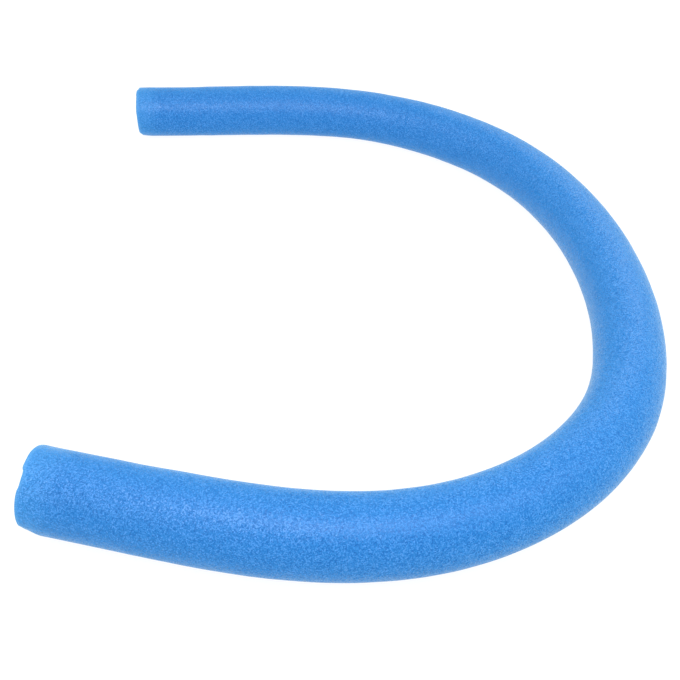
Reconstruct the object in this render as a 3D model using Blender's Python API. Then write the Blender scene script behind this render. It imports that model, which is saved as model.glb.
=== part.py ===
# A pool noodle: one length of extruded foam tube with a bore right through it,
# cut square at both ends and lying on its side in a loose, open U.
# Metres, +Z up. The origin is on the ground, under the middle of the plan.

import math

import bmesh
import bpy
import numpy as np
from mathutils import Vector

# The foam tube
outer_diameter = 0.065
bore_diameter = 0.020
noodle_length = 1.525          # along the centreline, from cut end to cut end
rim_rounding = 0.0022          # the cut rims are soft, not sharp
mouth_rounding = 0.0010        # the same, round the bore
end_taper = 0.0010             # the knife draws each end in a little, on the radius,
end_taper_length = 0.015       # over this last stretch
rest_flat_depth = 0.0005       # foam pressed flat under its own weight

# How it lies: the bends of its centreline, in the order met from the near end
near_tip_radius = 0.800        # the tips spring back and bend the other way
near_shoulder_radius = 0.270
crown_radius = 0.680
far_shoulder_radius = 0.264
far_tip_radius = 0.600
near_heading = math.radians(-8.5)   # the way the near end sets out, from +X

# Where each of those bends is reached, as shares of the length
near_shoulder_start_share = 0.18
near_shoulder_end_share = 0.34
crown_share = 0.45
far_shoulder_share = 0.79

# What the cutters run past the foam
overrun = 0.020

# How finely the surfaces are divided
body_rings = 72
taper_rings = 3
rim_steps = 3
outer_resolution = 14          # 32 sides
bore_resolution = 6            # 16 sides
trace_steps = 3000
weld_distance = 0.00001
sharp_angle = math.radians(35)

foam_blue = (0.073, 0.296, 0.761, 1.0)
foam_roughness = 0.62


def clear_scene():
    for item in list(bpy.data.objects):
        bpy.data.objects.remove(item, do_unlink=True)


def make_collection(name):
    collection = bpy.data.collections.new(name)
    bpy.context.scene.collection.children.link(collection)
    return collection


def trace_centreline():
    """Distances, headings, X and Y along the centreline, from a bend that changes evenly
    between the named places, so that each curve eases into the next as sprung foam does."""
    place_shares = (0, near_shoulder_start_share, near_shoulder_end_share,
                    crown_share, far_shoulder_share, 1)
    bends = (-1 / near_tip_radius, 1 / near_shoulder_radius, 1 / near_shoulder_radius,
             1 / crown_radius, 1 / far_shoulder_radius, -1 / far_tip_radius)
    distance = np.linspace(0, noodle_length, trace_steps)
    bend = np.interp(distance / noodle_length, place_shares, bends)
    step = np.diff(distance)
    turned = np.cumsum((bend[1:] + bend[:-1]) / 2 * step)
    heading = near_heading + np.concatenate(([0], turned))
    middle = (heading[1:] + heading[:-1]) / 2
    x = np.concatenate(([0], np.cumsum(np.cos(middle) * step)))
    y = np.concatenate(([0], np.cumsum(np.sin(middle) * step)))
    return distance, heading, x, y


def centre_plan(heading, x, y):
    """Move the centreline so that the middle of the tube's plan is over the origin."""
    reach = outer_diameter / 2
    side_x = np.abs(np.sin(heading)) * reach
    side_y = np.abs(np.cos(heading)) * reach
    middle_x = (np.min(x - side_x) + np.max(x + side_x)) / 2
    middle_y = (np.min(y - side_y) + np.max(y + side_y)) / 2
    return x - middle_x, y - middle_y


def points_along(trace, distances):
    """Points on the centreline; past the cut ends it runs straight on."""
    distance, heading, x, y = trace
    height = outer_diameter / 2 - rest_flat_depth
    points = []
    for wanted in distances:
        inside = min(max(wanted, 0), noodle_length)
        past = wanted - inside
        way = np.interp(inside, distance, heading)
        across = np.interp(inside, distance, x) + past * math.cos(way)
        along = np.interp(inside, distance, y) + past * math.sin(way)
        points.append(Vector((across, along, height)))
    return points


def drawn_in(depth):
    """How much smaller the foam's radius is at this depth behind a cut end."""
    share = max(0, 1 - depth / end_taper_length)
    return end_taper * share ** 2


def with_far_end(near_end):
    """The rings of one end, even rings along the noodle, and the same end mirrored."""
    depth, plain_radius = near_end[-1]
    spacing = (noodle_length - 2 * depth) / body_rings
    rings = list(near_end)
    for ring in range(1, body_rings):
        rings.append((depth + spacing * ring, plain_radius))
    rings += [(noodle_length - depth, radius) for depth, radius in reversed(near_end)]
    return rings


def outer_rings():
    """Distance and radius of each ring of the foam: a rounded rim, then the drawn-in end."""
    radius = outer_diameter / 2
    end = []
    for step in range(rim_steps + 1):
        angle = math.pi / 2 * step / rim_steps
        depth = rim_rounding * (1 - math.cos(angle))
        rounded_off = rim_rounding * (1 - math.sin(angle))
        end.append((depth, radius - drawn_in(depth) - rounded_off))
    for ring in range(1, taper_rings + 1):
        depth = rim_rounding + (end_taper_length - rim_rounding) * ring / taper_rings
        end.append((depth, radius - drawn_in(depth)))
    return with_far_end(end)


def bore_rings():
    """The same for the bore's cutter, which flares in the mouths and runs out past them."""
    radius = bore_diameter / 2
    end = [(-overrun, radius + mouth_rounding)]
    for step in range(rim_steps + 1):
        angle = math.pi / 2 * step / rim_steps
        depth = mouth_rounding * (1 - math.cos(angle))
        end.append((depth, radius + mouth_rounding * (1 - math.sin(angle))))
    return with_far_end(end)


def sweep_tube(name, trace, rings, resolution, collection):
    """A closed tube through the rings, swept as a bevelled curve and made a mesh."""
    largest = max(radius for distance, radius in rings)
    curve = bpy.data.curves.new(name + "_path", "CURVE")
    curve.dimensions = "3D"
    curve.twist_mode = "Z_UP"
    curve.bevel_depth = largest
    curve.bevel_resolution = resolution
    curve.use_fill_caps = True
    spline = curve.splines.new("POLY")
    spline.points.add(len(rings) - 1)
    points = points_along(trace, [distance for distance, radius in rings])
    for target, point, (distance, radius) in zip(spline.points, points, rings):
        target.co = (*point, 1)
        target.radius = radius / largest
    swept = bpy.data.objects.new(name + "_path", curve)
    collection.objects.link(swept)
    bpy.context.view_layer.update()

    evaluated = swept.evaluated_get(bpy.context.evaluated_depsgraph_get())
    mesh = bpy.data.meshes.new_from_object(evaluated)
    mesh.name = name
    shape = bmesh.new()
    shape.from_mesh(mesh)
    bmesh.ops.remove_doubles(shape, verts=shape.verts, dist=weld_distance)
    bmesh.ops.recalc_face_normals(shape, faces=shape.faces)
    shape.to_mesh(mesh)
    shape.free()

    tube = bpy.data.objects.new(name, mesh)
    tube.matrix_world = swept.matrix_world
    collection.objects.link(tube)
    bpy.data.objects.remove(swept, do_unlink=True)
    return tube


def make_floor_cutter(tube, collection):
    """A slab whose top is the ground, wide enough to clear the whole plan."""
    low = [min(corner[axis] for corner in tube.bound_box) for axis in range(2)]
    high = [max(corner[axis] for corner in tube.bound_box) for axis in range(2)]
    mesh = bpy.data.meshes.new("floor_cutter")
    shape = bmesh.new()
    bmesh.ops.create_cube(shape, size=1)
    size = (high[0] - low[0] + 2 * overrun, high[1] - low[1] + 2 * overrun, overrun)
    bmesh.ops.scale(shape, vec=size, verts=shape.verts)
    centre = ((low[0] + high[0]) / 2, (low[1] + high[1]) / 2, -overrun / 2)
    bmesh.ops.translate(shape, vec=centre, verts=shape.verts)
    shape.to_mesh(mesh)
    shape.free()
    slab = bpy.data.objects.new("floor_cutter", mesh)
    collection.objects.link(slab)
    return slab


def cut(target, cutter):
    cutter.hide_render = True
    cutter.display_type = "WIRE"
    modifier = target.modifiers.new("cut_" + cutter.name, "BOOLEAN")
    modifier.operation = "DIFFERENCE"
    modifier.solver = "EXACT"
    modifier.object = cutter


def foam_material():
    """Closed-cell polyethylene foam: an even blue, soft and barely glossy."""
    material = bpy.data.materials.new("blue_foam")
    material.use_nodes = True
    shader = material.node_tree.nodes["Principled BSDF"]
    shader.inputs["Base Color"].default_value = foam_blue
    shader.inputs["Roughness"].default_value = foam_roughness
    shader.inputs["Metallic"].default_value = 0
    material.diffuse_color = foam_blue
    return material


def build():
    clear_scene()
    parts = make_collection("pool_noodle")
    cutters = make_collection("cutters")

    distance, heading, x, y = trace_centreline()
    x, y = centre_plan(heading, x, y)
    trace = (distance, heading, x, y)

    foam_tube = sweep_tube("foam_tube", trace, outer_rings(), outer_resolution, parts)
    foam_tube.data.shade_smooth()
    foam_tube.data.set_sharp_from_angle(angle=sharp_angle)
    foam_tube.data.materials.append(foam_material())

    cut(foam_tube, sweep_tube("bore_cutter", trace, bore_rings(), bore_resolution, cutters))
    cut(foam_tube, make_floor_cutter(foam_tube, cutters))


build()
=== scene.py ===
import math

import bmesh
import bpy
from mathutils import Matrix


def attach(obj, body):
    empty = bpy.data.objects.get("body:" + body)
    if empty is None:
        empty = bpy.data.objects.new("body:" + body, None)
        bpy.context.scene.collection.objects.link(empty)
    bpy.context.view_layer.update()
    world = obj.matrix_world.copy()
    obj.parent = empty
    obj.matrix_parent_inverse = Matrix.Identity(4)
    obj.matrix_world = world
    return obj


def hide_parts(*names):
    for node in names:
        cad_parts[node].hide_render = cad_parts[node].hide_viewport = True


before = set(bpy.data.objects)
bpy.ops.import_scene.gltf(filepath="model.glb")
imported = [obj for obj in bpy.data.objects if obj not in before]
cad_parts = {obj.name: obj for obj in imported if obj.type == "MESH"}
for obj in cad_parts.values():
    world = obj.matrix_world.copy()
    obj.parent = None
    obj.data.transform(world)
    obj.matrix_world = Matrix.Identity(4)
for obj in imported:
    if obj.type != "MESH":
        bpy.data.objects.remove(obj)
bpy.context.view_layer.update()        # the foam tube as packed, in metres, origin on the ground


def hexToLinear(code):
    channels = [int(code[place:place + 2], 16) / 255 for place in (1, 3, 5)]
    linear = [c / 12.92 if c <= 0.04045 else ((c + 0.055) / 1.055) ** 2.4 for c in channels]
    return (*linear, 1)


def addNode(tree, kind, inputs=None, **settings):
    # adds one node: settings first, then its inputs, each a value, a socket or another node
    node = tree.nodes.new(kind)
    for name, value in settings.items():
        setattr(node, name, value)
    for name, value in (inputs or {}).items():
        if isinstance(value, bpy.types.Node):
            value = value.outputs[0]
        if isinstance(value, bpy.types.NodeSocket):
            tree.links.new(value, node.inputs[name])
        else:
            node.inputs[name].default_value = value
    return node


# Camera, at the photograph's angle

cameraView = {
    "place": (-0.011874, -0.777501, 0.539043),   # m
    "pitchDown": math.radians(38.330),
    "roll": math.radians(2.977),
    "lens": 46.812,          # mm
    "sensor": 36,            # mm, along the picture's side
    "clipStart": 0.01,
    "clipEnd": 100,
}


def addCamera():
    data = bpy.data.cameras.new("photoCamera")
    data.lens = cameraView["lens"]
    data.sensor_width = cameraView["sensor"]
    data.clip_start = cameraView["clipStart"]
    data.clip_end = cameraView["clipEnd"]
    camera = bpy.data.objects.new("photoCamera", data)
    tilt = Matrix.Rotation(math.pi / 2 - cameraView["pitchDown"], 4, "X")
    roll = Matrix.Rotation(cameraView["roll"], 4, "Z")
    camera.matrix_world = Matrix.Translation(cameraView["place"]) @ tilt @ roll
    bpy.context.scene.collection.objects.link(camera)
    bpy.context.scene.camera = camera


addCamera()
print("camera placed")


# Noodle: one tube of extruded foam, traced along its bend

noodleShape = {
    "sizes": {                            # m, apart from counts, shares and angles
        "Length": 1.525,
        "Radius": 0.0325,
        "Bore Radius": 0.010,
        "Rim Rounding": 0.0016,
        "Mouth Rounding": 0.0010,
        "Rest Flat Depth": 0.0005,
        "Near Heading": math.radians(-8.5),
        "Near Tip Radius": -0.800,        # below zero: it bends the other way
        "Near Shoulder Start Radius": 0.270,
        "Near Shoulder End Radius": 0.270,
        "Crown Radius": 0.680,
        "Far Shoulder Radius": 0.264,
        "Far Tip Radius": -0.600,
        "Near Tip Share": 0.0,            # where along the length each radius is reached
        "Near Shoulder Start Share": 0.18,
        "Near Shoulder End Share": 0.34,
        "Crown Share": 0.45,
        "Far Shoulder Share": 0.79,
        "Far Tip Share": 1.0,
        "Curve Unit": 0.001,              # one unit of the curves below
        "Cut Wander Depth": 0.015,        # how far behind the cut it dies away
        "Lump Height": 0.0007,            # the extruder's slow swell, from valley to top
        "Lump Spacing": 0.030,
        "Lump Detail": 1.0,               # finer layers added to the swell
        "Lump Seed": 4.0,
        "Trace Steps": 3000,              # along the bend, as it is summed up
        "Sides": 96,
        "Rim Steps": 5,
        "Mouth Steps": 3,
        "Foam Spacing": 0.0021,           # between rings of the skin
        "Bore Spacing": 0.009,            # between rings of the bore
        "Map Margin": 0.004,              # between the islands of the UV map
        "Map Bore Scale": 0.40,           # the bore gets less room there
        "Weld Distance": 0.00001,         # closes the seams
    },

    "curveReach": 5,                      # mm, as far as the curves below may go

    # how far the knife ran past square, in mm, by the turn round the rim: 0 is the left of
    # the way the tube runs, a quarter is the top
    "nearCut": [(0.00, 0.7), (0.12, 1.6), (0.165, 2.4), (0.208, 2.3), (0.25, 1.7),
                (0.292, 1.15), (0.325, -0.75), (0.355, -0.7), (0.38, 0.35), (0.45, 0.65),
                (0.50, 0.65), (0.55, 0.6), (0.66, 0.2), (0.80, 0.4), (1.00, 0.7)],
    "farCut": [(0.00, 0.3), (0.04, 0.6), (0.08, 1.1), (0.17, 1.1), (0.20, 1.7),
               (0.23, 1.7), (0.27, 0.1), (0.50, 0.4), (0.72, -0.4), (0.84, -1.8),
               (0.90, 0.2), (0.94, 0.2), (1.00, 0.3)],

    # how far the knife drew the foam in, in mm, by the same turn
    "nearTuck": [(0.00, 0.1), (0.15, -0.3), (0.25, 0.0), (0.47, 0.1), (0.53, 0.8),
                 (0.60, 2.5), (0.68, 2.3), (0.85, 0.6), (1.00, 0.1)],
    "farTuck": [(0.00, 0.6), (0.25, 0.6), (0.50, 0.4), (0.80, 1.0), (0.92, 0.8), (1.00, 0.6)],

    # how much more than the even radius the foam has, in mm, by its share of the length
    "girth": [(0.00, 0.35), (0.05, 0.15), (0.08, 0.35), (0.15, 0.0), (0.20, -0.3),
              (0.30, -0.45), (0.35, -0.7), (0.40, -0.1), (0.60, 0.15), (0.70, 0.2),
              (0.75, 0.1), (0.80, -0.35), (0.86, 0.0), (0.91, -0.2), (0.94, -0.4),
              (0.965, -0.85), (1.00, -0.85)],

    # how far the noodle lies to the right of its even bend, in mm, by the same share
    "drift": [(0.00, 0.1), (0.03, 0.7), (0.06, 0.3), (0.10, 0.0), (0.30, 0.0),
              (0.35, 0.5), (0.40, -0.1), (0.45, 0.35), (0.53, -0.3), (0.60, 0.2),
              (0.65, 0.9), (0.70, -0.2), (0.76, -0.9), (0.81, 0.2), (0.92, 0.0), (1.00, 0.0)],
}

bendPlaces = ["Near Tip", "Near Shoulder Start", "Near Shoulder End",
              "Crown", "Far Shoulder", "Far Tip"]


def drawThrough(points, mapping):
    # lays the curve of a node through the given points
    mapping.clip_min_y = -noodleShape["curveReach"]
    mapping.clip_max_y = noodleShape["curveReach"]
    line = mapping.curves[0]
    line.points[0].location = points[0]
    line.points[1].location = points[-1]
    for point in points[1:-1]:
        line.points.new(*point)
    mapping.update()


def traceCentreline(tree, size):
    # the bend changes evenly from place to place; its running sum is the heading
    index = addNode(tree, "GeometryNodeInputIndex")
    middle = addNode(tree, "ShaderNodeMath", {0: index, 1: 0.5}, operation="ADD")
    share = addNode(tree, "ShaderNodeMath", {0: middle, 1: size["Trace Steps"]},
                    operation="DIVIDE")
    bends = [addNode(tree, "ShaderNodeMath", {0: 1.0, 1: size[place + " Radius"]},
                     operation="DIVIDE", label=place + " bend") for place in bendPlaces]
    bend = bends[0]
    for number, place in enumerate(bendPlaces[1:], 1):
        change = addNode(tree, "ShaderNodeMath", {0: bends[number], 1: bends[number - 1]},
                         operation="SUBTRACT")
        eased = addNode(tree, "ShaderNodeMapRange",
                        {"Value": share,
                         "From Min": size[bendPlaces[number - 1] + " Share"],
                         "From Max": size[place + " Share"],
                         "To Min": 0.0, "To Max": change})
        bend = addNode(tree, "ShaderNodeMath", {0: bend, 1: eased}, operation="ADD")
    step = addNode(tree, "ShaderNodeMath", {0: size["Length"], 1: size["Trace Steps"]},
                   operation="DIVIDE")
    turn = addNode(tree, "ShaderNodeMath", {0: bend, 1: step}, operation="MULTIPLY")
    turned = addNode(tree, "GeometryNodeAccumulateField", {"Value": turn})
    heading = addNode(tree, "ShaderNodeMath",
                      {0: turned.outputs["Trailing"], 1: size["Near Heading"]},
                      operation="ADD")
    midHeading = addNode(tree, "ShaderNodeMath", {0: turn, 1: 0.5, 2: heading},
                         operation="MULTIPLY_ADD")
    way = addNode(tree, "ShaderNodeCombineXYZ",
                  {"X": addNode(tree, "ShaderNodeMath", {0: midHeading}, operation="COSINE"),
                   "Y": addNode(tree, "ShaderNodeMath", {0: midHeading}, operation="SINE")})
    stride = addNode(tree, "ShaderNodeVectorMath", {0: way, "Scale": step}, operation="SCALE")
    travelled = addNode(tree, "GeometryNodeAccumulateField", {"Value": stride},
                        data_type="FLOAT_VECTOR")

    count = addNode(tree, "ShaderNodeMath", {0: size["Trace Steps"], 1: 1.0}, operation="ADD")
    line = addNode(tree, "GeometryNodeMeshLine", {"Count": count, "Offset": (0, 0, 0)})
    traced = addNode(tree, "GeometryNodeSetPosition",
                     {"Geometry": line, "Position": travelled.outputs["Trailing"]})

    # the middle of the tube's plan goes over the origin
    reachX = addNode(tree, "ShaderNodeMath", {0: heading}, operation="SINE")
    reachY = addNode(tree, "ShaderNodeMath", {0: heading}, operation="COSINE")
    reach = addNode(tree, "ShaderNodeCombineXYZ", {"X": reachX, "Y": reachY})
    reach = addNode(tree, "ShaderNodeVectorMath", {0: reach}, operation="ABSOLUTE")
    reach = addNode(tree, "ShaderNodeVectorMath", {0: reach, "Scale": size["Radius"]},
                    operation="SCALE")
    position = addNode(tree, "GeometryNodeInputPosition")
    lowSide = addNode(tree, "ShaderNodeVectorMath", {0: position, 1: reach},
                      operation="SUBTRACT")
    highSide = addNode(tree, "ShaderNodeVectorMath", {0: position, 1: reach}, operation="ADD")
    lowest, highest = [addNode(tree, "GeometryNodeAttributeStatistic",
                               {"Geometry": traced, "Attribute": side},
                               data_type="FLOAT_VECTOR") for side in (lowSide, highSide)]
    total = addNode(tree, "ShaderNodeVectorMath",
                    {0: lowest.outputs["Min"], 1: highest.outputs["Max"]}, operation="ADD")
    height = addNode(tree, "ShaderNodeMath",
                     {0: size["Radius"], 1: size["Rest Flat Depth"]}, operation="SUBTRACT")
    lift = addNode(tree, "ShaderNodeCombineXYZ", {"Z": height})
    shift = addNode(tree, "ShaderNodeVectorMath", {0: total, 1: (-0.5, -0.5, 0), 2: lift},
                    operation="MULTIPLY_ADD")
    centred = addNode(tree, "GeometryNodeSetPosition", {"Geometry": traced, "Offset": shift})
    return addNode(tree, "GeometryNodeMeshToCurve", {"Mesh": centred})


def drawWallSection(tree, size):
    # the wall cut lengthwise: X runs along the noodle and Y out from its centre
    wall = addNode(tree, "ShaderNodeMath", {0: size["Radius"], 1: size["Bore Radius"]},
                   operation="SUBTRACT")
    slab = addNode(tree, "GeometryNodeCurvePrimitiveQuadrilateral",
                   {"Width": size["Length"], "Height": wall})
    halfLength = addNode(tree, "ShaderNodeMath", {0: size["Length"], 1: 0.5},
                         operation="MULTIPLY")
    midRadius = addNode(tree, "ShaderNodeMath", {0: wall, 1: 0.5, 2: size["Bore Radius"]},
                        operation="MULTIPLY_ADD")
    offset = addNode(tree, "ShaderNodeCombineXYZ", {"X": halfLength, "Y": midRadius})
    placed = addNode(tree, "GeometryNodeSetPosition", {"Geometry": slab, "Offset": offset})

    position = addNode(tree, "GeometryNodeInputPosition")
    radius = addNode(tree, "ShaderNodeSeparateXYZ", {0: position}).outputs["Y"]
    outside = addNode(tree, "FunctionNodeCompare", {0: radius, 1: midRadius},
                      operation="GREATER_THAN")
    rounding = addNode(tree, "GeometryNodeSwitch",
                       {0: outside, 1: size["Mouth Rounding"], 2: size["Rim Rounding"]},
                       input_type="FLOAT")
    steps = addNode(tree, "GeometryNodeSwitch",
                    {0: outside, 1: size["Mouth Steps"], 2: size["Rim Steps"]},
                    input_type="INT")
    rounded = addNode(tree, "GeometryNodeFilletCurve",
                      {"Curve": placed, "Radius": rounding, "Count": steps}, mode="POLY")

    # the long runs are divided as finely as each surface needs
    index = addNode(tree, "GeometryNodeInputIndex")
    following = addNode(tree, "FunctionNodeIntegerMath", {0: index, 1: 1}, operation="ADD")
    count = addNode(tree, "GeometryNodeSplineLength").outputs["Point Count"]
    following = addNode(tree, "FunctionNodeIntegerMath", {0: following, 1: count},
                        operation="MODULO")
    ahead = addNode(tree, "GeometryNodeFieldAtIndex",
                    {"Index": following, "Value": position}, data_type="FLOAT_VECTOR")
    run = addNode(tree, "ShaderNodeVectorMath", {0: position, 1: ahead}, operation="DISTANCE")
    aheadRadius = addNode(tree, "ShaderNodeSeparateXYZ", {0: ahead}).outputs["Y"]
    farthest = addNode(tree, "ShaderNodeMath", {0: radius, 1: aheadRadius},
                       operation="MAXIMUM")
    inBore = addNode(tree, "FunctionNodeCompare", {0: farthest, 1: midRadius},
                     operation="LESS_THAN")
    spacing = addNode(tree, "GeometryNodeSwitch",
                      {0: inBore, 1: size["Foam Spacing"], 2: size["Bore Spacing"]},
                      input_type="FLOAT")
    cuts = addNode(tree, "ShaderNodeMath", {0: run.outputs["Value"], 1: spacing},
                   operation="DIVIDE")
    return addNode(tree, "GeometryNodeSubdivideCurve", {"Curve": rounded, "Cuts": cuts})


def mapUnwrapped(tree, size, geometry, along, alongFace, turn):
    # the UV map: the outside in three strips, the bore in one, the cut faces as rings
    strips = 3

    # the outside is as long as the noodle, and more by the rounds of its two rims
    rim = addNode(tree, "ShaderNodeMath", {0: size["Rim Rounding"], 1: math.pi - 2},
                  operation="MULTIPLY")
    outside = addNode(tree, "ShaderNodeMath", {0: rim, 1: size["Length"]}, operation="ADD")
    girth = addNode(tree, "ShaderNodeMath", {0: size["Radius"], 1: 2 * math.pi},
                    operation="MULTIPLY")
    margin = size["Map Margin"]

    # the sheet is square, its side the strips with a margin round each
    sheet = addNode(tree, "ShaderNodeMath", {0: girth, 1: strips}, operation="MULTIPLY")
    sheet = addNode(tree, "ShaderNodeMath", {0: margin, 1: strips + 1, 2: sheet},
                    operation="MULTIPLY_ADD")

    stripLength = addNode(tree, "ShaderNodeMath", {0: outside, 1: strips},
                          operation="DIVIDE")
    strip = addNode(tree, "ShaderNodeMath", {0: alongFace, 1: stripLength},
                    operation="DIVIDE")
    strip = addNode(tree, "ShaderNodeMath", {0: strip}, operation="FLOOR")
    back = addNode(tree, "ShaderNodeMath", {0: strip, 1: stripLength}, operation="MULTIPLY")
    stripU = addNode(tree, "ShaderNodeMath", {0: along, 1: back}, operation="SUBTRACT")
    stripU = addNode(tree, "ShaderNodeMath", {0: stripU, 1: margin}, operation="ADD")
    pitch = addNode(tree, "ShaderNodeMath", {0: girth, 1: margin}, operation="ADD")
    stripV = addNode(tree, "ShaderNodeMath", {0: strip, 1: pitch, 2: margin},
                     operation="MULTIPLY_ADD")
    stripV = addNode(tree, "ShaderNodeMath", {0: turn, 1: girth, 2: stripV},
                     operation="MULTIPLY_ADD")
    stripMap = addNode(tree, "ShaderNodeCombineXYZ", {"X": stripU, "Y": stripV})

    # how far in from the rim, over the cut face and the mouth, at the nearer end
    total = addNode(tree, "GeometryNodeInputNamedAttribute", {"Name": "loopLength"})
    ends = []
    for reading in (along, alongFace):
        fromNear = addNode(tree, "ShaderNodeMath", {0: reading, 1: outside},
                           operation="SUBTRACT")
        fromFar = addNode(tree, "ShaderNodeMath", {0: total, 1: reading},
                          operation="SUBTRACT")
        ends.append((fromNear, fromFar))
    isNear = addNode(tree, "FunctionNodeCompare", {0: ends[1][0], 1: ends[1][1]},
                     operation="LESS_THAN")
    inward = addNode(tree, "ShaderNodeMath", {0: ends[0][0], 1: ends[0][1]},
                     operation="MINIMUM")
    inwardFace = addNode(tree, "ShaderNodeMath", {0: ends[1][0], 1: ends[1][1]},
                         operation="MINIMUM")
    faceRadius = addNode(tree, "ShaderNodeMath", {0: size["Radius"], 1: size["Rim Rounding"]},
                         operation="SUBTRACT")
    ring = addNode(tree, "ShaderNodeMath", {0: faceRadius, 1: inward}, operation="SUBTRACT")
    angle = addNode(tree, "ShaderNodeMath", {0: turn, 1: 2 * math.pi}, operation="MULTIPLY")
    sine = addNode(tree, "ShaderNodeMath", {0: angle}, operation="SINE")
    mirrored = addNode(tree, "ShaderNodeMath", {0: sine, 1: -1.0}, operation="MULTIPLY")
    upright = addNode(tree, "GeometryNodeSwitch", {0: isNear, 1: sine, 2: mirrored},
                      input_type="FLOAT")
    spoke = addNode(tree, "ShaderNodeCombineXYZ",
                    {"X": addNode(tree, "ShaderNodeMath", {0: angle}, operation="COSINE"),
                     "Y": upright})
    ringMap = addNode(tree, "ShaderNodeVectorMath", {0: spoke, "Scale": ring},
                      operation="SCALE")
    column = addNode(tree, "ShaderNodeMath", {0: stripLength, 1: faceRadius},
                     operation="ADD")
    column = addNode(tree, "ShaderNodeMath", {0: margin, 1: 2.0, 2: column},
                     operation="MULTIPLY_ADD")

    # the near ring stands at the foot of its column, and the far ring just above it
    nearLevel = addNode(tree, "ShaderNodeMath", {0: faceRadius, 1: margin}, operation="ADD")
    farLevel = addNode(tree, "ShaderNodeMath", {0: nearLevel, 1: 3.0}, operation="MULTIPLY")
    level = addNode(tree, "GeometryNodeSwitch", {0: isNear, 1: farLevel, 2: nearLevel},
                    input_type="FLOAT")
    ringCentre = addNode(tree, "ShaderNodeCombineXYZ", {"X": column, "Y": level})
    ringMap = addNode(tree, "ShaderNodeVectorMath", {0: ringMap, 1: ringCentre},
                      operation="ADD")

    # the bore, drawn smaller, stands on end in the last column
    mouth = addNode(tree, "ShaderNodeMath",
                    {0: size["Mouth Rounding"], 1: math.pi / 2 - 1, 2: faceRadius},
                    operation="MULTIPLY_ADD")
    faceDepth = addNode(tree, "ShaderNodeMath", {0: mouth, 1: size["Bore Radius"]},
                        operation="SUBTRACT")
    boreU = addNode(tree, "ShaderNodeMath", {0: 1.0, 1: turn}, operation="SUBTRACT")
    boreGirth = addNode(tree, "ShaderNodeMath", {0: size["Bore Radius"], 1: 2 * math.pi},
                        operation="MULTIPLY")
    boreU = addNode(tree, "ShaderNodeMath", {0: boreU, 1: boreGirth}, operation="MULTIPLY")
    boreV = addNode(tree, "ShaderNodeMath", {0: ends[0][0], 1: faceDepth},
                    operation="SUBTRACT")
    boreMap = addNode(tree, "ShaderNodeCombineXYZ", {"X": boreU, "Y": boreV})
    boreMap = addNode(tree, "ShaderNodeVectorMath",
                      {0: boreMap, "Scale": size["Map Bore Scale"]}, operation="SCALE")
    boreColumn = addNode(tree, "ShaderNodeMath", {0: column, 1: faceRadius},
                         operation="ADD")
    boreColumn = addNode(tree, "ShaderNodeMath", {0: boreColumn, 1: margin},
                         operation="ADD")
    boreCorner = addNode(tree, "ShaderNodeCombineXYZ", {"X": boreColumn, "Y": margin})
    boreMap = addNode(tree, "ShaderNodeVectorMath", {0: boreMap, 1: boreCorner},
                      operation="ADD")

    inFace = addNode(tree, "FunctionNodeCompare", {0: inwardFace, 1: faceDepth},
                     operation="LESS_THAN")
    inStrip = addNode(tree, "FunctionNodeCompare", {0: alongFace, 1: outside},
                      operation="LESS_THAN")
    chosen = addNode(tree, "GeometryNodeSwitch", {0: inFace, 1: boreMap, 2: ringMap},
                     input_type="VECTOR")
    chosen = addNode(tree, "GeometryNodeSwitch", {0: inStrip, 1: chosen, 2: stripMap},
                     input_type="VECTOR")
    scale = addNode(tree, "ShaderNodeMath", {0: 1.0, 1: sheet}, operation="DIVIDE")
    chosen = addNode(tree, "ShaderNodeVectorMath", {0: chosen, "Scale": scale},
                     operation="SCALE")
    return addNode(tree, "GeometryNodeStoreNamedAttribute",
                   {"Geometry": geometry, "Name": "OFBake", "Value": chosen},
                   data_type="FLOAT2", domain="CORNER")


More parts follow.
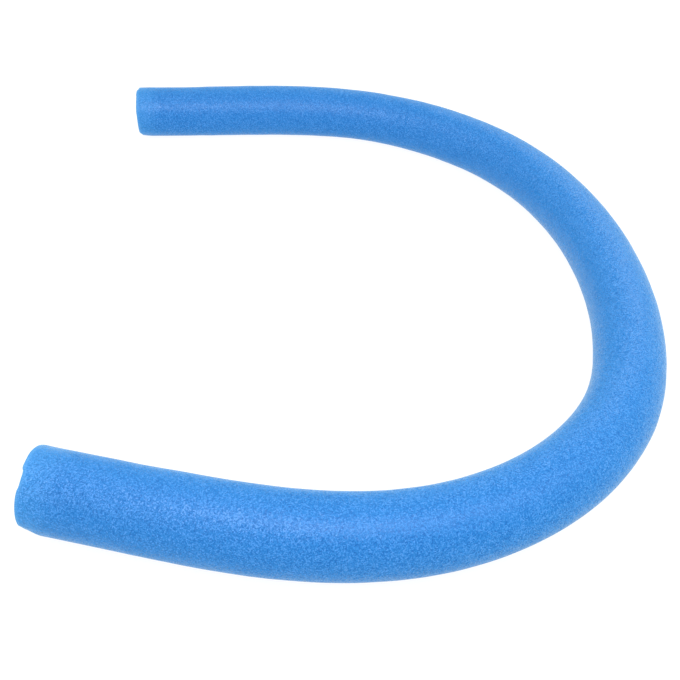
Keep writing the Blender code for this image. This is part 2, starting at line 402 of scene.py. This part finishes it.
def buildNoodleTree():
    tree = bpy.data.node_groups.new("extrudedFoamTube", "GeometryNodeTree")
    tree.interface.new_socket("Noodle", in_out="OUTPUT", socket_type="NodeSocketGeometry")
    for name, value in noodleShape["sizes"].items():
        kind = "NodeSocketInt" if isinstance(value, int) else "NodeSocketFloat"
        tree.interface.new_socket(name, in_out="INPUT", socket_type=kind)
    tree.interface.new_socket("Foam", in_out="INPUT", socket_type="NodeSocketMaterial")
    size = addNode(tree, "NodeGroupInput").outputs

    centreline = traceCentreline(tree, size)
    section = drawWallSection(tree, size)

    # a grid with one row for each point of the section and one column for each side
    sectionCount = addNode(tree, "GeometryNodeAttributeDomainSize", {0: section},
                           component="CURVE").outputs["Point Count"]
    rows = addNode(tree, "FunctionNodeIntegerMath", {0: sectionCount, 1: 1}, operation="ADD")
    columns = addNode(tree, "FunctionNodeIntegerMath", {0: size["Sides"], 1: 1},
                      operation="ADD")
    grid = addNode(tree, "GeometryNodeMeshGrid", {"Vertices X": rows, "Vertices Y": columns})
    index = addNode(tree, "GeometryNodeInputIndex")
    row = addNode(tree, "FunctionNodeIntegerMath", {0: index, 1: columns},
                  operation="DIVIDE_FLOOR")
    column = addNode(tree, "FunctionNodeIntegerMath", {0: index, 1: columns},
                     operation="MODULO")
    sectionIndex = addNode(tree, "FunctionNodeIntegerMath", {0: row, 1: sectionCount},
                           operation="MODULO")
    lap = addNode(tree, "FunctionNodeIntegerMath", {0: row, 1: sectionCount},
                  operation="DIVIDE_FLOOR")
    turn = addNode(tree, "ShaderNodeMath", {0: column, 1: size["Sides"]}, operation="DIVIDE")

    position = addNode(tree, "GeometryNodeInputPosition")
    onSection = addNode(tree, "GeometryNodeSampleIndex",
                        {"Geometry": section, "Value": position, "Index": sectionIndex},
                        data_type="FLOAT_VECTOR")
    parameter = addNode(tree, "GeometryNodeSplineParameter")
    runSoFar = addNode(tree, "GeometryNodeSampleIndex",
                       {"Geometry": section, "Value": parameter.outputs["Length"],
                        "Index": sectionIndex})
    splineLength = addNode(tree, "GeometryNodeSplineLength")
    loopLength = addNode(tree, "GeometryNodeSampleIndex",
                         {"Geometry": section, "Value": splineLength.outputs["Length"],
                          "Index": 0})
    along = addNode(tree, "ShaderNodeMath", {0: lap, 1: loopLength, 2: runSoFar},
                    operation="MULTIPLY_ADD")

    # these are kept on the mesh before its points move
    kept = grid
    for name, value in (("turn", turn), ("along", along), ("loopLength", loopLength)):
        kept = addNode(tree, "GeometryNodeStoreNamedAttribute",
                       {"Geometry": kept, "Name": name, "Value": value})
    straight = addNode(tree, "GeometryNodeSetPosition", {"Geometry": kept,
                                                        "Position": onSection})

    turn = addNode(tree, "GeometryNodeInputNamedAttribute", {"Name": "turn"})
    along = addNode(tree, "GeometryNodeInputNamedAttribute", {"Name": "along"})
    alongFace = addNode(tree, "GeometryNodeFieldOnDomain", {"Value": along}, domain="FACE")
    mapped = mapUnwrapped(tree, size, straight, along, alongFace, turn)

    distance = addNode(tree, "ShaderNodeSeparateXYZ", {0: position})
    radius = distance.outputs["Y"]
    toFar = addNode(tree, "ShaderNodeMath", {0: size["Length"], 1: distance},
                    operation="SUBTRACT")
    depth = addNode(tree, "ShaderNodeMath", {0: distance, 1: toFar}, operation="MINIMUM")
    marked = addNode(tree, "GeometryNodeStoreNamedAttribute",
                     {"Geometry": mapped, "Name": "cutDepth", "Value": depth})

    share = addNode(tree, "ShaderNodeMath", {0: distance, 1: size["Length"]},
                    operation="DIVIDE")
    curves = {}
    for name, reading in (("nearCut", turn), ("nearTuck", turn), ("farCut", turn),
                          ("farTuck", turn), ("girth", share), ("drift", share)):
        curves[name] = addNode(tree, "ShaderNodeFloatCurve", {"Value": reading}, label=name)
        drawThrough(noodleShape[name], curves[name].mapping)

    # 0 in the bore and 1 at the skin
    outward = addNode(tree, "ShaderNodeMapRange",
                      {"Value": radius, "From Min": size["Bore Radius"],
                       "From Max": size["Radius"]}, interpolation_type="SMOOTHSTEP")

    # the ends: where the knife wandered, and where the foam is drawn in
    angle = addNode(tree, "ShaderNodeMath", {0: turn, 1: 2 * math.pi}, operation="MULTIPLY")
    cosine = addNode(tree, "ShaderNodeMath", {0: angle}, operation="COSINE")
    sine = addNode(tree, "ShaderNodeMath", {0: angle}, operation="SINE")
    moved = distance
    drawn = 0.0
    for end, fromEnd, way in (("near", distance, -1.0), ("far", toFar, 1.0)):
        fade = addNode(tree, "ShaderNodeMapRange",
                       {"Value": fromEnd, "From Min": 0.0,
                        "From Max": size["Cut Wander Depth"], "To Min": 1.0, "To Max": 0.0},
                       interpolation_type="SMOOTHSTEP")
        held = addNode(tree, "ShaderNodeMath", {0: fade, 1: outward}, operation="MULTIPLY")
        held = addNode(tree, "ShaderNodeMath", {0: held, 1: size["Curve Unit"]},
                       operation="MULTIPLY")
        wander = addNode(tree, "ShaderNodeMath", {0: curves[end + "Cut"], 1: held},
                         operation="MULTIPLY")
        moved = addNode(tree, "ShaderNodeMath", {0: wander, 1: way, 2: moved},
                        operation="MULTIPLY_ADD")
        tuck = addNode(tree, "ShaderNodeMath", {0: curves[end + "Tuck"], 1: held},
                       operation="MULTIPLY")
        drawn = addNode(tree, "ShaderNodeMath", {0: tuck, 1: drawn}, operation="ADD")

    # slow swells left by the extruder; the noise swings about a half
    ringX = addNode(tree, "ShaderNodeMath", {0: cosine, 1: radius}, operation="MULTIPLY")
    ringY = addNode(tree, "ShaderNodeMath", {0: sine, 1: radius}, operation="MULTIPLY")
    unbent = addNode(tree, "ShaderNodeCombineXYZ", {"X": distance, "Y": ringX, "Z": ringY})
    frequency = addNode(tree, "ShaderNodeMath", {0: 1.0, 1: size["Lump Spacing"]},
                        operation="DIVIDE")
    lumps = addNode(tree, "ShaderNodeTexNoise",
                    {"Vector": unbent, "W": size["Lump Seed"], "Scale": frequency,
                     "Detail": size["Lump Detail"]}, noise_dimensions="4D")
    lump = addNode(tree, "ShaderNodeMath", {0: lumps, 1: 0.5}, operation="SUBTRACT")
    lump = addNode(tree, "ShaderNodeMath", {0: lump, 1: size["Lump Height"]},
                   operation="MULTIPLY")
    lump = addNode(tree, "ShaderNodeMath", {0: lump, 1: outward}, operation="MULTIPLY")
    girth = addNode(tree, "ShaderNodeMath", {0: outward, 1: size["Curve Unit"]},
                    operation="MULTIPLY")
    girth = addNode(tree, "ShaderNodeMath", {0: curves["girth"], 1: girth, 2: lump},
                    operation="MULTIPLY_ADD")
    swollen = addNode(tree, "ShaderNodeMath", {0: radius, 1: girth}, operation="ADD")
    swollen = addNode(tree, "ShaderNodeMath", {0: swollen, 1: drawn}, operation="SUBTRACT")

    # bent along the centreline, straight on past its ends
    held = addNode(tree, "ShaderNodeClamp", {"Value": moved, "Min": 0.0,
                                             "Max": size["Length"]})
    past = addNode(tree, "ShaderNodeMath", {0: moved, 1: held}, operation="SUBTRACT")
    onLine = addNode(tree, "GeometryNodeSampleCurve",
                     {"Curves": centreline, "Length": held}, mode="LENGTH")
    left = addNode(tree, "ShaderNodeVectorMath",
                   {0: (0, 0, 1), 1: onLine.outputs["Tangent"]}, operation="CROSS_PRODUCT")
    left = addNode(tree, "ShaderNodeVectorMath", {0: left}, operation="NORMALIZE")
    ahead = addNode(tree, "ShaderNodeVectorMath",
                    {0: onLine.outputs["Tangent"], "Scale": past}, operation="SCALE")
    drift = addNode(tree, "ShaderNodeMath", {0: curves["drift"], 1: size["Curve Unit"]},
                    operation="MULTIPLY")
    sideways = addNode(tree, "ShaderNodeMath", {0: cosine, 1: swollen}, operation="MULTIPLY")
    sideways = addNode(tree, "ShaderNodeMath", {0: sideways, 1: drift}, operation="SUBTRACT")
    sideways = addNode(tree, "ShaderNodeVectorMath", {0: left, "Scale": sideways},
                       operation="SCALE")
    upwards = addNode(tree, "ShaderNodeMath", {0: sine, 1: swollen}, operation="MULTIPLY")
    upwards = addNode(tree, "ShaderNodeCombineXYZ", {"Z": upwards})
    place = addNode(tree, "ShaderNodeVectorMath", {0: onLine.outputs["Position"], 1: ahead},
                    operation="ADD")
    place = addNode(tree, "ShaderNodeVectorMath", {0: place, 1: sideways}, operation="ADD")
    place = addNode(tree, "ShaderNodeVectorMath", {0: place, 1: upwards}, operation="ADD")

    # and pressed flat where it lies on the ground
    parts = addNode(tree, "ShaderNodeSeparateXYZ", {0: place})
    pressed = addNode(tree, "ShaderNodeMath", {0: parts.outputs["Z"], 1: 0.0},
                      operation="MAXIMUM")
    place = addNode(tree, "ShaderNodeCombineXYZ",
                    {"X": parts.outputs["X"], "Y": parts.outputs["Y"], "Z": pressed})
    bent = addNode(tree, "GeometryNodeSetPosition", {"Geometry": marked, "Position": place})

    welded = addNode(tree, "GeometryNodeMergeByDistance",
                     {"Geometry": bent, "Distance": size["Weld Distance"]})
    cleaned = welded
    for name in ("turn", "along", "loopLength"):
        cleaned = addNode(tree, "GeometryNodeRemoveAttribute",
                          {"Geometry": cleaned, "Name": name})
    smooth = addNode(tree, "GeometryNodeSetShadeSmooth", {"Geometry": cleaned})
    realized = addNode(tree, "GeometryNodeRealizeInstances", {"Geometry": smooth})
    dressed = addNode(tree, "GeometryNodeSetMaterial",
                      {"Geometry": realized, "Material": size["Foam"]})
    addNode(tree, "NodeGroupOutput", {0: dressed})
    return tree


def makeNoodle(foam):
    tree = buildNoodleTree()
    carrier = bpy.data.objects.new("foamNoodleTree", bpy.data.meshes.new("foamNoodleTree"))
    bpy.context.scene.collection.objects.link(carrier)
    modifier = carrier.modifiers.new("extrudedFoamTube", "NODES")
    modifier.node_group = tree
    inputs = {**noodleShape["sizes"], "Foam": foam}
    for socket in tree.interface.items_tree:
        if socket.in_out == "INPUT":
            modifier[socket.identifier] = inputs[socket.name]
    evaluated = carrier.evaluated_get(bpy.context.evaluated_depsgraph_get())
    mesh = bpy.data.meshes.new_from_object(evaluated)
    bpy.data.objects.remove(carrier, do_unlink=True)
    mesh.materials.clear()
    mesh.materials.append(foam)
    mesh.polygons.foreach_set("material_index", [0] * len(mesh.polygons))
    mesh.name = "foamNoodle"
    noodle = bpy.data.objects.new("foamNoodle", mesh)
    bpy.context.scene.collection.objects.link(noodle)
    print("noodle made:", len(mesh.vertices), "points,", len(mesh.polygons), "faces")
    return noodle


# Foam: closed-cell polyethylene, extruded, so its skin is a crust of small flattened
# cells, each facing its own way. It gives a satin blue whose highlight breaks into grains

foamLook = {
    "skin": "#2676c0",
    "pitShade": "#165ca8",            # a cell that has sunk or burst: its random tone, darkened as painted shade
    "crust": "#4f8fd8",          # a cell that stands proud: its random tone, lightened as painted light
    "cutWall": "#5fa3db",        # where the knife opened the cells
    # the floor of each open cell, painted darker as the shade that falls in it
    "cutPitShade": "#3b83cc",
    "endGlow": "#213c45",        # light that comes in at the cut, added to the skin's colour
    "cellSize": 0.90,            # mm
    "fineCellSize": 0.50,        # mm
    "openCellSize": 1.25,        # mm
    "openWall": 0.28,            # share of an open cell that its wall fades over
    "patchSize": 22,             # mm, slow drifts of colour
    "patchDetail": 3.0,
    "cellShare": 0.60,           # how much each of the three lifts the skin
    "fineCellShare": 0.25,
    "patchShare": 0.15,
    "pitProud": 0.1,             # where on that scale each colour stands
    "skinProud": 0.5,
    "crustProud": 0.9,
    "cellLean": 0.27,            # how far a cell may face aside, as a slope
    "openLean": 0.18,            # the same where it is cut open
    "cutBand": 0.005,            # m, from the cut back over the rim
    "glowBand": 0.035,           # m, from the cut
    "pitRoughness": 0.35,
    "crustRoughness": 0.20,
    "index": 1.18,               # foam is mostly gas, so it glances less than solid plastic
    "glossLevel": 0.80,          # 0.5 is the index's own
    "fuzz": "#30d8ff",           # torn cell walls, pale where the skin is seen edge on
    "fuzzShare": 0.20,
    "fuzzRoughness": 0.6,
}


mixA, mixB, mixResult = 6, 7, 2      # sockets of a Mix node that mixes colours
mmPerMetre = 1000


def makeFoam():
    material = bpy.data.materials.new("extrudedPolyethyleneFoam")
    material.use_nodes = True
    tree = material.node_tree
    tree.nodes.clear()
    millimetres = addNode(tree, "ShaderNodeTexCoord").outputs["Object"]
    millimetres = addNode(tree, "ShaderNodeVectorMath",
                          {0: millimetres, "Scale": mmPerMetre}, operation="SCALE")

    cells = addNode(tree, "ShaderNodeTexVoronoi",
                    {"Vector": millimetres, "Scale": 1 / foamLook["cellSize"]})
    fineCells = addNode(tree, "ShaderNodeTexVoronoi",
                        {"Vector": millimetres, "Scale": 1 / foamLook["fineCellSize"]})
    patches = addNode(tree, "ShaderNodeTexNoise",
                      {"Vector": millimetres, "Scale": 1 / foamLook["patchSize"],
                       "Detail": foamLook["patchDetail"]})

    # a random tone for each cell, from 0 to 1, read as how proud it stands: low cells get
    # painted shade and high cells painted light in the colour below
    chance = addNode(tree, "ShaderNodeSeparateXYZ", {0: cells.outputs["Color"]})
    fineChance = addNode(tree, "ShaderNodeSeparateXYZ", {0: fineCells.outputs["Color"]})
    proud = addNode(tree, "ShaderNodeMath", {0: chance, 1: foamLook["cellShare"]},
                    operation="MULTIPLY")
    proud = addNode(tree, "ShaderNodeMath",
                    {0: fineChance, 1: foamLook["fineCellShare"], 2: proud},
                    operation="MULTIPLY_ADD")
    proud = addNode(tree, "ShaderNodeMath",
                    {0: patches, 1: foamLook["patchShare"], 2: proud},
                    operation="MULTIPLY_ADD")
    # each cell's random tone, with painted shade on sunk cells and painted light on proud ones
    colour = addNode(tree, "ShaderNodeValToRGB", {0: proud})
    ramp = colour.color_ramp
    ramp.elements[0].position = foamLook["pitProud"]
    ramp.elements[0].color = hexToLinear(foamLook["pitShade"])
    ramp.elements[1].position = foamLook["crustProud"]
    ramp.elements[1].color = hexToLinear(foamLook["crust"])
    ramp.elements.new(foamLook["skinProud"]).color = hexToLinear(foamLook["skin"])
    roughness = addNode(tree, "ShaderNodeMapRange",
                        {"Value": proud, "From Min": foamLook["pitProud"],
                         "From Max": foamLook["crustProud"],
                         "To Min": foamLook["pitRoughness"],
                         "To Max": foamLook["crustRoughness"]})

    cutDepth = addNode(tree, "ShaderNodeAttribute", attribute_name="cutDepth").outputs["Fac"]
    cutShare = addNode(tree, "ShaderNodeMapRange",
                       {"Value": cutDepth, "From Min": 0.0, "From Max": foamLook["cutBand"],
                        "To Min": 1.0, "To Max": 0.0}, interpolation_type="SMOOTHSTEP")
    openCells = addNode(tree, "ShaderNodeTexVoronoi",
                        {"Vector": millimetres, "Scale": 1 / foamLook["openCellSize"]},
                        feature="DISTANCE_TO_EDGE")
    opened = addNode(tree, "ShaderNodeMapRange",
                     {"Value": openCells, "From Min": 0.0, "From Max": foamLook["openWall"]},
                     interpolation_type="SMOOTHSTEP")
    # open cells on the cut: lighter walls, with painted shade on their floors
    cutColour = addNode(tree, "ShaderNodeMix",
                        {0: opened, mixA: hexToLinear(foamLook["cutWall"]),
                         mixB: hexToLinear(foamLook["cutPitShade"])},
                        data_type="RGBA").outputs[mixResult]
    glowShare = addNode(tree, "ShaderNodeMapRange",
                        {"Value": cutDepth, "From Min": 0.0, "From Max": foamLook["glowBand"],
                         "To Min": 1.0, "To Max": 0.0}, interpolation_type="SMOOTHSTEP")
    lit = addNode(tree, "ShaderNodeMix",
                  {0: glowShare, mixA: colour, mixB: hexToLinear(foamLook["endGlow"])},
                  data_type="RGBA", blend_type="ADD").outputs[mixResult]
    base = addNode(tree, "ShaderNodeMix", {0: cutShare, mixA: lit, mixB: cutColour},
                   data_type="RGBA").outputs[mixResult]

    # each cell faces its own way, less so near the cut
    lean = addNode(tree, "ShaderNodeVectorMath",
                   {0: cells.outputs["Color"], 1: fineCells.outputs["Color"]},
                   operation="ADD")
    lean = addNode(tree, "ShaderNodeVectorMath", {0: lean, 1: (1, 1, 1)},
                   operation="SUBTRACT")
    leanShare = addNode(tree, "ShaderNodeMapRange",
                        {"Value": cutShare, "From Min": 0.0, "From Max": 1.0,
                         "To Min": foamLook["cellLean"], "To Max": foamLook["openLean"]})
    lean = addNode(tree, "ShaderNodeVectorMath", {0: lean, "Scale": leanShare},
                   operation="SCALE")
    outwards = addNode(tree, "ShaderNodeNewGeometry").outputs["Normal"]
    facing = addNode(tree, "ShaderNodeVectorMath", {0: outwards, 1: lean}, operation="ADD")
    facing = addNode(tree, "ShaderNodeVectorMath", {0: facing}, operation="NORMALIZE")
    shader = addNode(tree, "ShaderNodeBsdfPrincipled",
                     {"Base Color": base, "Roughness": roughness,
                      "IOR": foamLook["index"],
                      "Specular IOR Level": foamLook["glossLevel"],
                      "Sheen Weight": foamLook["fuzzShare"],
                      "Sheen Roughness": foamLook["fuzzRoughness"],
                      "Sheen Tint": hexToLinear(foamLook["fuzz"]), "Normal": facing})
    addNode(tree, "ShaderNodeOutputMaterial", {"Surface": shader})
    return material


foam = makeFoam()
print("foam mixed")
noodle = makeNoodle(foam)
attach(noodle, "root")
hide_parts("foam_tube")


# Studio: a sheet of opal acrylic, lit from below, white walls all round and softboxes

studioLook = {
    "sheet": "#6c6e70",
    "sheetRoughness": 0.9,
    "sheetGloss": 0,
    "sheetSide": 12,            # m
    "sheetDrop": 0.0002,        # m under the noodle
    "sheetGlow": 0.93,
    "wallGlow": 1.0,
    "glowColour": "#ffffff",    # of the sheet and the walls

    # place, width and height in m, power in W
    "softboxes": {
        "key": {"place": (-0.10, -0.75, 0.95), "width": 0.3, "height": 0.3, "power": 3.3},
        "side": {"place": (0.80, -0.30, 1.00), "width": 0.8, "height": 0.8, "power": 4.2},
        "left": {"place": (-1.31, 0.00, 0.92), "width": 0.8, "height": 0.8, "power": 1.5},
        "back": {"place": (0.42, 1.25, 0.92), "width": 0.8, "height": 0.8, "power": 2.4},
    },

    # the same, seen in the gloss alone: each draws one stretch of the streak
    "glossBoxes": {
        "arm": {"place": (-0.05, -0.60, 1.00), "width": 1.3, "height": 0.6, "power": 14.0},
        "tip": {"place": (-0.82, -1.05, 0.62), "width": 0.3, "height": 0.3, "power": 2.5},
        "crown": {"place": (0.80, 0.85, 0.75), "width": 0.4, "height": 0.4, "power": 1.2},
        "bend": {"place": (-0.50, 0.10, 0.90), "width": 0.7, "height": 0.9, "power": 3.0},
    },
}


def addStudio():
    mesh = bpy.data.meshes.new("floorSheet")
    shape = bmesh.new()
    bmesh.ops.create_grid(shape, x_segments=1, y_segments=1, size=studioLook["sheetSide"] / 2)
    bmesh.ops.translate(shape, vec=(0, 0, -studioLook["sheetDrop"]), verts=shape.verts)
    shape.to_mesh(mesh)
    shape.free()
    floor = bpy.data.objects.new("floorSheet", mesh)
    bpy.context.scene.collection.objects.link(floor)
    acrylic = bpy.data.materials.new("opalAcrylic")
    acrylic.use_nodes = True
    shader = acrylic.node_tree.nodes["Principled BSDF"]
    shader.inputs["Base Color"].default_value = hexToLinear(studioLook["sheet"])
    shader.inputs["Roughness"].default_value = studioLook["sheetRoughness"]
    shader.inputs["Specular IOR Level"].default_value = studioLook["sheetGloss"]
    shader.inputs["Emission Color"].default_value = hexToLinear(studioLook["glowColour"])
    shader.inputs["Emission Strength"].default_value = studioLook["sheetGlow"]
    mesh.materials.append(acrylic)

    world = bpy.data.worlds.new("whiteWalls")
    world.use_nodes = True
    background = world.node_tree.nodes["Background"]
    background.inputs["Color"].default_value = hexToLinear(studioLook["glowColour"])
    background.inputs["Strength"].default_value = studioLook["wallGlow"]
    bpy.context.scene.world = world

    for name, box in {**studioLook["softboxes"], **studioLook["glossBoxes"]}.items():
        lamp = bpy.data.lights.new(name + "Softbox", "AREA")
        lamp.shape = "RECTANGLE"
        lamp.size = box["width"]
        lamp.size_y = box["height"]
        lamp.energy = box["power"]
        softbox = bpy.data.objects.new(name + "Softbox", lamp)
        bpy.context.scene.collection.objects.link(softbox)
        softbox.visible_diffuse = name in studioLook["softboxes"]
        softbox.location = box["place"]
        aim = softbox.location.to_track_quat("Z", "Y")      # at the middle of the sheet
        softbox.rotation_euler = aim.to_euler()
    bpy.context.scene.view_settings.view_transform = "Standard"


addStudio()
print("studio lit")
